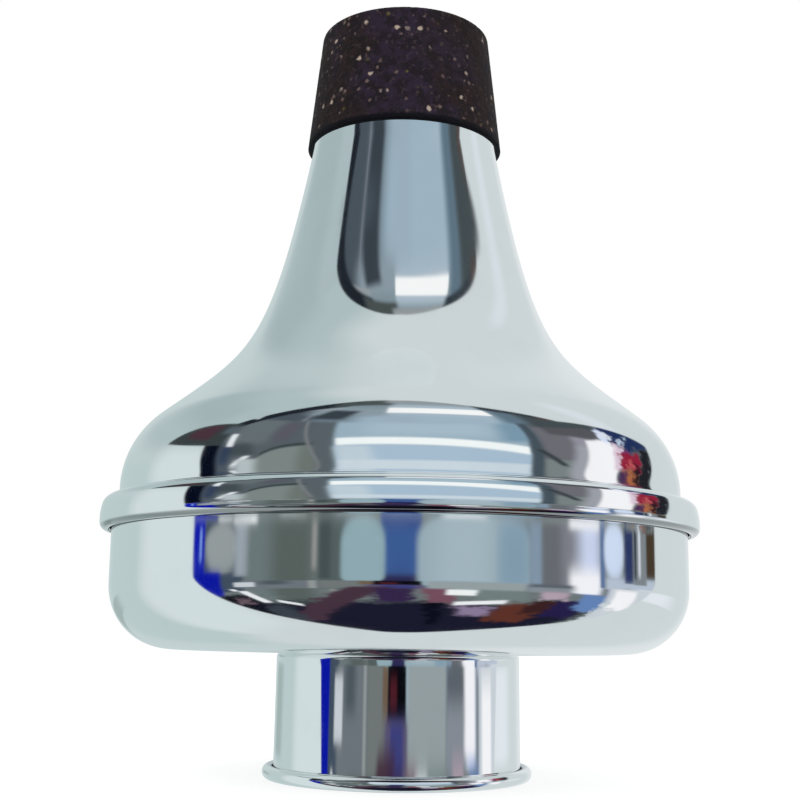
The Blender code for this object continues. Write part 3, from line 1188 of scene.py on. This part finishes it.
INSIDE = (
    # wall with the window
    Panel("wall", -84, 125, .8, 62, (88, 98, 104), 2, .4),
    Panel("wall light", -70, -50, 22, 46, (104, 114, 118), 10, 8),
    Panel("wall mauve", -50, -42, 24, 42, (92, 92, 102), 6, 8),
    Panel("wall dark", -62, -48, 12, 22, (70, 80, 84), 6, 6, lean=-.4),
    Panel("board line", -51, -30, 20.6, 23, (62, 72, 74), 1.5, 1, bow=34, rise=8),
    Panel("board", -56, -28, .8, 19.8, (128, 138, 136), 3, .4, bow=34, sag=0, rise=8),
    Panel("board end", -36, -26, .8, 19.8, (112, 121, 116), 6, .4),
    Panel("slate", -28, -16, .8, 46, (90, 100, 106), 4, .4, lean=-.2),
    Panel("pipe", -27.4, -25.9, 3, 44, (122, 126, 130), 1.6, 2, lean=-.33),
    Panel("window", -20.6, 44.8, .8, 54, (158, 181, 196), 3, 3, splay=.155),
    Panel("window top", -14, 36, 30, 54, (170, 192, 206), 16, 10),
    Panel("window right", 33, 46, 26, 52, (126, 156, 176), 10, 4, lean=.2),
    Panel("window foot", -20.3, 44.8, .8, 20.5, (172, 195, 214), 3, 2, splay=.155, bow=6, sag=0),
    Panel("window foot left", -20.3, -8, .8, 19, (196, 212, 222), 6, 3, lean=-.155),
    Panel("window sill", -20.3, 44.8, 2.4, 6.5, (208, 221, 230), 3, 2, splay=.155),
    Panel("window lamp", -20, 44.4, 21.2, 28.2, (250, 255, 255), 1.6, 2.6, splay=.155, bow=11,
          rise=2.2),
    # right of the window
    Panel("frame right", 45.5, 50, .8, 44, (72, 84, 94), 2.6, .4, lean=.155),
    Panel("wall right", 51, 90, 12, 40, (112, 111, 119), 4, 5, lean=.15),
    Panel("wall low right", 51, 90, .8, 12, (124, 134, 134), 3, 3, lean=.1),
    Panel("wall streak", 63.5, 67, 7, 20, (58, 66, 72), 3, 3, lean=-.7),
    Panel("wall pale right", 65, 80, 22, 37, (150, 149, 162), 6, 6, lean=.2),
    Panel("shelf top", 62, 98, 37, 50, (88, 88, 94), 5, 3.5, bow=3.2, rise=3.2),
    Panel("door glow", 60, 68, .8, 24, (160, 163, 172), 6, 4, lean=.4),
    Panel("door right", 66.4, 82.8, .8, 28, (252, 252, 255), 2.4, 2.5, lean=.4),
    Panel("door top", 78, 84.5, 26, 38, (222, 232, 255), 3, 4, lean=.35),
    Panel("blue goods", 85, 112, 20.5, 38, (34, 50, 92), 3, 3, lean=.25),
    Panel("bright goods", 91, 96, 28, 33, (225, 232, 245), 2, 1.5),
    Panel("pale goods", 97, 101, 23.5, 26.5, (190, 205, 225), 1.5, 1.5),
    Panel("small goods", 103, 106, 26, 28.5, (160, 180, 200), 1.5, 1.5),
    Panel("mauve goods", 80.5, 87, 8, 24, (226, 205, 222), 3, 4, lean=.42),
    Panel("purple goods", 86, 92, 14, 20.5, (120, 50, 110), 2.5, 3, lean=.42),
    Panel("red goods", 83.4, 97, 8, 19, (146, 34, 60), 3, 3, lean=.46),
    Panel("red glow", 88, 92, 9, 14, (190, 88, 92), 3, 4, lean=.46),
    Panel("orange goods", 84.8, 96, .8, 8, (176, 108, 72), 3, 4, lean=.46),
    Panel("dark goods", 83, 88, .8, 7, (70, 44, 84), 3, 4, lean=.46),
    Panel("black goods", 92, 96, 2, 12, (40, 26, 36), 3, 4, lean=.46),
    Panel("dark post", 96, 103.5, .8, 20, (34, 36, 42), 2, 2, lean=.6),
    # ceiling, which the flare and the neck mirror
    Panel("ceiling", -50, 60, 50, 80, (132, 149, 158), 14, 5),
    Panel("head left", -90, -40, 43.5, 59, (76, 86, 95), 9, 3),
    Panel("head grey", -42, -20, 43.5, 57, (114, 130, 141), 15, 5),
    Panel("head pale", -16, 30, 43.5, 57, (160, 180, 195), 28, 5),
    Panel("head blue", 8, 48, 43.5, 57, (164, 185, 200), 12, 5),
    Panel("head end", 48, 61, 43.5, 57, (98, 119, 134), 10, 4),
    Panel("head corner", 60, 95, 43, 60, (70, 80, 84), 8, 3, bow=3),
    Panel("head pipe", -45, -42.6, 43.5, 53, (118, 124, 134), 2, 2),
    Panel("glow left", -46, -6, 52.5, 61, (142, 157, 167), 14, 5, bow=4),
    Panel("glow right", -7.4, 46, 54, 67, (176, 192, 205), 5, 8, bow=8),
    Panel("lamp", -7.6, 47, 55.8, 62.4, (254, 255, 255), 1.8, 1.6, bow=7),
    Panel("head dark", -66, -50, 46, 57, (58, 66, 74), 6, 4, lean=.5),
    Panel("ceiling strip", -57, -34, 61.6, 63.8, (150, 158, 164), 2, 1.4, bow=10.5),
    Panel("beam left", -80, -33, 65.2, 84, (32, 37, 46), 4, 2.4, bow=18, rise=2.9),
    Panel("beam middle", -42, -6, 65.8, 84, (74, 82, 82), 8, 3.4, bow=18, rise=2.9),
    Panel("beam grey", -12, 47, 69.4, 84, (150, 156, 160), 8, 3, bow=13, rise=2.3),
    Panel("beam right", 47, 72, 66.4, 84, (50, 58, 66), 5, 2.6, bow=13.6, rise=2.3),
    Panel("beam brown", 70, 94, 51, 84, (84, 74, 72), 6, 2.4, bow=3.6, rise=2.6),
    # left of the board
    Panel("dark door", -80, -67.4, .8, 24, (8, 13, 30), 3, 1, lean=-.16),
    Panel("door blue", -67.4, -62.6, 5, 23, (50, 64, 90), 6, 8, lean=-.1),
    Panel("glint left", -63.2, -60.2, 19.6, 30, (238, 243, 246), 1.6, 1.6, lean=-.22),
    Panel("glint board", -65.6, -62.8, 4.4, 11.6, (240, 244, 248), 2, 1.6, lean=.72),
    Panel("board glow", -60, -52, 2, 9, (186, 196, 200), 6, 3),
    # level strip, which the barrel's wall mirrors
    Panel("lower room", -90, 125, -95, .8, (112, 121, 122), 1.5, .3),
    Panel("hangings dark", -70, -53, -20, .5, (66, 80, 96), 3, .5),
    Panel("hangings", -69.4, -55.4, -3.7, .0, (153, 161, 162), 3, 1, waist=-1.5, oval=2),
    Panel("hangings light", -56.6, -51, -4.4, -.15, (158, 168, 178), 3, .6),
    Panel("cupboard", -52, -41, -34, .6, (110, 123, 125), 5, .3),
    Panel("cupboard middle", -43, -28, -34, .6, (90, 101, 98), 9, .3),
    Panel("cupboard edge", -28.6, -26.8, -3.2, .1, (150, 151, 150), 1.6, .8),
    Panel("cupboard foot", -26.5, -24.8, -24, -3.2, (140, 143, 142), 1.8, 1, lean=-.196),
    Panel("gap", -26.4, -17, -18, .6, (86, 98, 98), 3, .4),
    Panel("gap dark", -26.2, -22.4, -6, .3, (72, 83, 85), 2.4, .8),
    Panel("blue panel", -6, 7, -5, .75, (60, 93, 152), 2, .3),
    Panel("blue panel top", -6, 7, -.3, .75, (50, 72, 134), 2, .8),
    Panel("navy panel", -9, 9, -17, -4, (46, 44, 84), 3, 1.6),
    Panel("card left", -19, -4.6, -11.8, .38, (148, 175, 184), 2, 1, waist=-1.6, oval=2.3),
    Panel("card right", 5.7, 43.9, -20.5, .52, (156, 177, 187), 3, 1, waist=-1.6, oval=3),
    Panel("card pale", 12, 30, -7, .2, (168, 187, 197), 12, 1.4),
    Panel("card blue", 33, 43, -10, .2, (128, 156, 178), 8, 2, waist=-1.6, oval=3),
    Panel("card shade", 44, 48.4, -17, .3, (134, 154, 174), 2.5, .6),
    Panel("drapes right", 48.4, 57, -9, .3, (106, 110, 116), 3, .5),
    Panel("drapes end", 56, 63, -9, .3, (128, 130, 140), 6, .5),
    Panel("door low", 63, 72.6, -17, .6, (206, 216, 244), 8, .3),
    Panel("door low top", 59, 72, -.1, .6, (250, 251, 255), 3, .5),
    Panel("door low foot", 59, 72.4, -16, -2.9, (250, 250, 255), 4, 1.4),
    Panel("door low line", 72.4, 74.6, -9, .6, (92, 116, 156), 1.2, .4),
    Panel("pale end", 75, 104, -10, -3.4, (186, 198, 214), 3, 1.2),
    Panel("pale oval", 74.3, 84.2, -3.4, .5, (212, 226, 250), 2, 1, waist=-1.3, oval=2.4),
    Panel("navy goods", 84.6, 89.6, -4.4, .3, (40, 52, 98), 1.8, .6),
    Panel("grey goods", 89.6, 97.6, -5, .3, (128, 136, 142), 2, .4),
    Panel("goods line", 90.2, 91.4, -3.5, .2, (40, 46, 56), .8, .5),
    Panel("goods glint", 92.6, 94, -3.2, .1, (214, 220, 228), 1, .5),
    Panel("brown post", 97.8, 104, -3.3, .12, (70, 58, 44), 1.5, .4),
    Panel("glint top far", -63.8, -58, .14, .46, (232, 238, 242), 2, .2),
    Panel("glint top", -57.6, -48.4, -.05, .52, (242, 246, 248), 2.4, .24),
    Panel("glint top middle", -40, -31, .4, .62, (196, 204, 208), 3, .16),
    Panel("glint top right", 14, 29, .34, .6, (238, 244, 248), 4, .2),
    # band that the cup mirrors
    Panel("cup grey", -54, -25, -17.4, -8.3, (112, 120, 127), 6, .8),
    Panel("cup streak", -47, -37, -12.8, -8.3, (80, 90, 97), 8, 2),
    Panel("cup line", -29.8, -27, -17.4, -8.3, (148, 154, 155), 2, .8),
    Panel("cup middle", -26, -11, -17.4, -8.3, (116, 122, 122), 4, .8),
    Panel("cup olive", -13, -7.5, -13, -8.6, (112, 94, 78), 3, 2),
    Panel("cup black", -8.4, 7.2, -13.2, -8.3, (8, 9, 14), 2, 1),
    Panel("cup red", -6.4, -.6, -12.4, -10, (78, 30, 40), 3, 1.6),
    Panel("cup violet", -11, 10, -17.4, -13.2, (92, 86, 118), 6, 1.4),
    Panel("cup violet core", -6, 5, -17.4, -13.4, (62, 66, 128), 4, 1.4),
    Panel("cup card", 9, 43, -17.4, -8.3, (152, 163, 166), 4, .8),
    Panel("cup shade", 43.5, 61, -13, -8.3, (94, 101, 110), 5, 4),
    Panel("cup shade low", 43.5, 61, -17.4, -12, (136, 143, 152), 6, 3),
    Panel("cup lilac", 77, 92, -17.4, -8.3, (150, 152, 190), 4, .8),
    Panel("cup lilac line", 84, 88, -11, -8.3, (84, 86, 116), 2.4, 1.5),
    Panel("cup end", 92, 104, -17.4, -8.3, (222, 230, 238), 4, .8),
    Panel("bench pale", -57, -49, -15, -10, (206, 212, 218), 2, 1),
    # cloth in front of the table, and its blue edge
    Panel("blue cloth", -78, -69.6, -24, .75, (12, 26, 172), 1.6, .2),
    Panel("blue cloth top", -71, -64.4, .26, .75, (14, 26, 150), 1.6, .2),
    Panel("blue cloth foot", -78, -62.4, -24, -3.4, (10, 24, 162), 2.4, 1),
    Panel("cloth line", -72, -70.9, -2.6, -.3, (120, 150, 228), .8, .6),
    Panel("cloth edge", -78, -72.6, -17.4, -8.3, (96, 126, 206), 2, .8),
    # table and floor
    Panel("table", -80, 74, -95, -33, (27, 28, 46), 8, 8),
    Panel("table green", 26, 44, -30, -17, (116, 131, 130), 5, 3),
    Panel("maroon", -4, 11, -57, -15.5, (72, 52, 66), 5, 3, lean=.8),
    Panel("purple middle", -8, 5, -34, -17, (54, 39, 74), 4, 3),
    Panel("rose", 5, 16, -34, -17, (120, 80, 96), 3.5, 3, lean=-.12),
    Panel("notch", 1, 7, -64, -33, (12, 14, 28), 4, 4, lean=-.2),
    Panel("lilac table", 13, 27, -48, -37, (142, 126, 156), 5, 4, lean=-.22),
    Panel("brown table", 37, 55, -54, -31, (96, 52, 42), 5, 5),
    Panel("dark brown", 47, 62, -42, -26, (60, 35, 36), 5, 4),
    Panel("pink table", 49, 60, -25, -16.5, (182, 162, 178), 4, 4),
    Panel("navy far", 57, 71, -44, -25, (38, 31, 74), 4, 4),
    Panel("blue far", 66, 78, -34, -17, (102, 134, 186), 4, 3),
    Panel("pale far", 77, 110, -48, -8.5, (206, 214, 221), 4, 3),
    Panel("white far", 80.5, 92, -29, -10.5, (252, 252, 255), 3, 4),
    Panel("dark left", -68, -50, -58, -24, (17, 19, 32), 4, 4),
    Panel("slate left", -52, -41, -56, -37, (60, 66, 75), 5, 5),
    Panel("mauve left", -59, -54, -35, -27, (108, 90, 100), 3, 3),
)

LIGHTS = (
    Panel("glint slope", -73.2, -70.9, -19.4, -17.2, (242, 245, 248), 1.4, 1, lean=-.78),
    Panel("glint bench", -66, -62.6, -33, -19.4, (242, 245, 248), 1.6, 1.4, lean=-.508),
    Panel("glint table", -43.4, -35.2, -61.8, -59, (242, 245, 248), 2, 1.2, bow=-40, rise=1),
    Panel("lamp low", 15.6, 25.8, -24.2, -17.6, (246, 249, 250), 2.4, 1.8),
    Panel("lamp line low", 19.4, 38, -41.2, -36.8, (244, 246, 250), 2.4, 1.6, bow=-14, rise=1),
)

CLOTH = (
    Panel("left", -150, -30, 14, 72, (179, 196, 198), 60, 20),
    Panel("left dark", -138, -84, 34, 54, (169, 186, 189), 22, 16),
    Panel("left low", -200, -104, -60, 14, (191, 208, 209), 14, 14),
    Panel("by the door", -104, -60, -60, 20, (216, 228, 230), 16, 16),
    Panel("edge left", -200, -143, -60, 60, (199, 213, 214), 14, 20),
    Panel("edge right", 143, 200, -60, 60, (226, 232, 234), 16, 20),
    Panel("streak right", 95, 107, 24, 56, (221, 229, 235), 10, 12),
    Panel("cup left", -150, -131, -17, -9.6, (166, 183, 182), 12, 1.5),
    Panel("cup right", 94, 119, -17, -9.6, (232, 239, 245), 18, 1.5),
    Panel("behind left", -196, -168, -60, 50, (178, 189, 194), 10, 20),
    Panel("behind right", 168, 196, -60, 50, (190, 199, 204), 10, 20),
)

TRIM = (
    Panel("cloth by the neck", -84, -68.2, 43.4, 50.5, (176, 192, 196), 2, 1.5),
    Panel("rail", -104, -71, 20.6, 39.4, (58, 66, 68), 1.5, 1, bow=.097, sag=0, rise=9.5),
    Panel("rail mauve", -94, -80, 25, 38, (76, 52, 62), 5, 4, bow=.097, sag=0, rise=9.5),
    Panel("rail glow", -76, -69, 30, 36, (88, 100, 108), 4, 4),
)


@dataclass
class Tent:
    """The pale light tent round the mute, and the room seen through its opening.

    It is a ball about a point on the mute's axis, seen by mirrors alone.
    """

    radius: float = 0.35
    centre: float = 0.08
    rows: int = 60
    columns: int = 96
    cloth: Colour = (211, 220, 222)
    dim: Colour = (100, 108, 112)
    wobble: float = 14.0
    wobble_top: float = -18.0
    goods_top: float = 42.0
    second: float = 1.08
    bands: tuple = (-90.0, -36.0, -18.0, -9.0, -3.0, 0.0, 3.0, 9.0, 21.0, 42.0, 90.0)

    def ball(self) -> tuple[np.ndarray, list, np.ndarray]:
        """Work out the ball: (R cos e cos a, R cos e sin a, centre + R sin e), closed at its poles.

        Returns:
            The vertices, the faces, and the elevation of each face's middle.
        """
        rise = np.linspace(-90, 90, self.rows + 1)
        lift = np.radians(rise[1:-1])
        turn = np.linspace(0, 2 * math.pi, self.columns, endpoint=False)
        grid = np.stack([np.outer(np.cos(lift), np.cos(turn)), np.outer(np.cos(lift), np.sin(turn)),
                         np.repeat(np.sin(lift)[:, None], self.columns, 1)], 2).reshape(-1, 3)
        vertices = np.concatenate([grid, [[0, 0, -1], [0, 0, 1]]]) * self.radius
        vertices[:, 2] += self.centre
        quads = ring_faces(len(lift), self.columns)[:(len(lift) - 1) * self.columns]
        first, after = np.arange(self.columns), (np.arange(self.columns) + 1) % self.columns
        last = (len(lift) - 1) * self.columns
        foot = np.stack([after, first, np.full(self.columns, len(grid))], 1)
        head = np.stack([last + first, last + after, np.full(self.columns, len(grid) + 1)], 1)
        middle = (rise[1:] + rise[:-1]) / 2
        heights = np.concatenate([np.repeat(middle[1:-1], self.columns),
                                  np.full(self.columns, middle[0]), np.full(self.columns, middle[-1])])
        return vertices, quads.tolist() + foot.tolist() + head.tolist(), heights

    def paint(self, low: float, high: float) -> bpy.types.Material:
        """Paint one band of the ball with the panels that reach it.

        The direction from the ball's centre gives an azimuth and an elevation. The room's panels
        are laid over each other in turn, the tent's tinted cloth covers all but the opening, and
        the trim lies on both.

        Args:
            low: Lowest elevation of the band.
            high: Highest elevation of the band.

        Returns:
            The material.
        """
        made = bpy.data.materials.new(f"tent_{self.bands.index(low)}")
        made.use_nodes = True
        made.cycles.emission_sampling = "NONE"
        graph = Graph(made.node_tree)
        way = graph.add("ShaderNodeVectorMath", operation="SUBTRACT")
        graph.put(graph.add("ShaderNodeTexCoord").outputs["Object"], way.inputs[0])
        graph.put((0, 0, self.centre), way.inputs[1])
        unit = graph.add("ShaderNodeVectorMath", operation="NORMALIZE")
        graph.put(way.outputs[0], unit.inputs[0])
        parts = graph.add("ShaderNodeSeparateXYZ")
        graph.put(unit.outputs[0], parts.inputs[0])
        x, y, z = parts.outputs
        azimuth = graph.math("DEGREES", graph.math("ARCTAN2", x, graph.math("MULTIPLY", y, -1.0)))
        elevation = graph.math("DEGREES", graph.math("ARCSINE", z))
        side = graph.math("DIVIDE", graph.math("ABSOLUTE", azimuth), 60.0)
        here = (azimuth, elevation, side)
        margin = self.wobble / 2 + 0.5 if low < self.wobble_top else 0.5
        reach = (low - margin, high + margin)
        if low < self.wobble_top or 0 <= low < self.goods_top:
            strength = (graph.smooth(elevation, self.wobble_top, self.wobble_top - 8, 0.0,
                                     self.wobble) if low < 0 else
                        graph.smooth(azimuth, 82.0, 92.0, 0.0, self.wobble))
            waves = [graph.math("SUBTRACT", graph.noise(unit.outputs[0], scale, 4.0, 0.65), 0.5)
                     for scale in (17.0, 13.0)]
            shifts = [graph.math("MULTIPLY", wave, strength) for wave in waves]
            here = (graph.math("ADD", azimuth, shifts[0]),
                    graph.math("ADD", elevation, shifts[1]), side)
        colour = linear(*self.dim)
        for panel in INSIDE:
            if panel.reaches(*reach):
                colour = graph.mix(panel.weight(graph, *here), colour, linear(*panel.colour))
        for panel in LIGHTS:
            if panel.reaches(*reach):
                colour = graph.mix(panel.weight(graph, azimuth, elevation, side), colour,
                                   linear(*panel.colour))
        open_share = 0.0
        for panel in OPENING:
            if panel.reaches(*reach):
                open_share = graph.math("MAXIMUM", open_share,
                                        panel.weight(graph, azimuth, elevation, side))
        pale = linear(*self.cloth)
        for panel in CLOTH:
            if panel.reaches(*reach):
                pale = graph.mix(panel.weight(graph, azimuth, elevation, side), pale,
                                 linear(*panel.colour))
        colour = graph.mix(open_share, pale, colour)
        for panel in TRIM:
            if panel.reaches(*reach):
                colour = graph.mix(panel.weight(graph, azimuth, elevation, side), colour,
                                   linear(*panel.colour))
        glow = graph.add("ShaderNodeEmission")
        graph.put(colour, glow.inputs["Color"])
        if high == self.bands[-1]:
            bounces = graph.add("ShaderNodeLightPath").outputs["Ray Depth"]
            graph.put(graph.smooth(bounces, 1.2, 1.8, 1.0, self.second), glow.inputs["Strength"])
        output = graph.add("ShaderNodeOutputMaterial")
        graph.put(glow.outputs[0], output.inputs[0])
        return made

    def build(self) -> None:
        """Build the ball, paint its bands, and hide it from all but mirrors."""
        vertices, faces, heights = self.ball()
        piece = mesh_object("tent", vertices, faces, 180.0)
        for low, high in zip(self.bands, self.bands[1:]):
            piece.data.materials.append(self.paint(low, high))
        band = np.searchsorted(np.array(self.bands), heights) - 1
        piece.data.polygons.foreach_set("material_index", band.astype(np.int32))
        for rays in ("camera", "diffuse", "transmission", "volume_scatter", "shadow"):
            setattr(piece, f"visible_{rays}", False)


@dataclass
class Studio:
    """Floor, lamps, world, light tent and camera."""

    floor_size: float = 6.0
    floor_glow: float = 0.80
    distance: float = 0.33828
    eye_height: float = 0.03541
    pitch: float = 9.933
    roll: float = 0.72
    aside: float = -0.00031
    lens: float = 59.62

    def camera(self) -> None:
        """Set the camera in front of the mute, looking slightly up, with the lens's plain frame."""
        data = bpy.data.cameras.new("camera")
        data.lens = self.lens
        data.sensor_width = 36.0
        data.clip_start, data.clip_end = 0.01, 50.0
        camera = bpy.data.objects.new("camera", data)
        pitch, roll = math.radians(self.pitch), math.radians(self.roll)
        forward = Vector((0, math.cos(pitch), math.sin(pitch)))
        level_up = Vector((0, -math.sin(pitch), math.cos(pitch)))
        right = Vector((1, 0, 0)) * math.cos(roll) + level_up * math.sin(roll)
        up = level_up * math.cos(roll) - Vector((1, 0, 0)) * math.sin(roll)
        turn = Matrix((right, up, -forward)).transposed().to_4x4()
        place = Matrix.Translation((self.aside, -self.distance, self.eye_height))
        camera.matrix_world = place @ turn
        bpy.context.scene.collection.objects.link(camera)
        bpy.context.scene.camera = camera

    def floor(self) -> None:
        """Lay a pale floor that keeps the mute's shadow and fades into the white background."""
        half = self.floor_size / 2
        corners = np.array([[-half, -half, 0], [half, -half, 0], [half, half, 0], [-half, half, 0]])
        piece = mesh_object("floor", corners, [[0, 1, 2, 3]], 30.0)
        piece.visible_glossy = False
        made = bpy.data.materials.new("pale_floor")
        made.use_nodes = True
        graph = Graph(made.node_tree)
        seen = graph.add("ShaderNodeLightPath").outputs["Is Camera Ray"]
        paint = graph.add("ShaderNodeBsdfDiffuse")
        paint.inputs[0].default_value = (0.32, 0.32, 0.32, 1)
        glow = graph.add("ShaderNodeEmission")
        graph.put(graph.math("MULTIPLY", seen, self.floor_glow), glow.inputs["Strength"])
        both = graph.add("ShaderNodeAddShader")
        graph.put(paint.outputs[0], both.inputs[0])
        graph.put(glow.outputs[0], both.inputs[1])
        output = graph.add("ShaderNodeOutputMaterial")
        graph.put(both.outputs[0], output.inputs[0])
        piece.data.materials.append(made)

    def lamps(self) -> None:
        """Hang three soft lamps that light the matt pieces and the floor."""
        for name, place, size, power in (("key", (-0.5, -0.7, 0.9), 0.7, 5.0),
                                         ("fill", (0.7, -0.5, 0.6), 0.8, 2.6),
                                         ("top", (0.0, 0.3, 1.2), 0.9, 3.0)):
            data = bpy.data.lights.new(name, "AREA")
            data.size = size
            data.energy = power
            lamp = bpy.data.objects.new(name, data)
            lamp.location = place
            aim = Vector((0, 0, 0.1)) - Vector(place)
            lamp.rotation_euler = aim.to_track_quat("-Z", "Y").to_euler()
            lamp.visible_glossy = False
            bpy.context.scene.collection.objects.link(lamp)

    def world(self) -> None:
        """Make the world white for the camera and plain pale grey for everything else."""
        world = bpy.data.worlds.new("studio")
        bpy.context.scene.world = world
        world.use_nodes = True
        world.cycles.sampling_method = "NONE"
        graph = Graph(world.node_tree)
        rays = graph.add("ShaderNodeLightPath").outputs
        white = graph.math("MAXIMUM", rays["Is Camera Ray"], rays["Is Transmission Ray"])
        shader = graph.add("ShaderNodeBackground")
        graph.put(graph.mix(white, (0.72, 0.72, 0.72), (1, 1, 1)), shader.inputs["Color"])
        output = graph.add("ShaderNodeOutputWorld")
        graph.put(shader.outputs[0], output.inputs[0])

    def build(self) -> None:
        """Build the whole studio."""
        self.camera()
        self.floor()
        self.lamps()
        self.world()
        Tent().build()
        bpy.context.scene.view_settings.view_transform = "Standard"


def main() -> None:
    """Build every sub-assembly in order and report its pieces."""
    logging.basicConfig(level=logging.INFO, format="%(name)s: %(message)s")
    fits = Fits()
    metal = PolishedAluminium("polished_aluminium").material()
    # The shells' finish carries a painted shade line above the ring's fold.
    folded = PolishedAluminium("polished_aluminium_fold_shaded", fold_shade_level=fits.ring_level).material()
    dark_cork = RubberCork().material()
    pale_cork = NaturalCork().material()
    parts = (Stem(fits, metal), Shells(fits, folded), Guide(fits, metal, pale_cork),
             CorkCollar(fits, dark_cork))
    for part in parts:
        part.build()
        for piece in part.pieces:
            LOG.info("%s: %s, %d faces", type(part).__name__, piece.name, len(piece.data.polygons))
    Studio().build()


if __name__ == "__main__":
    main()
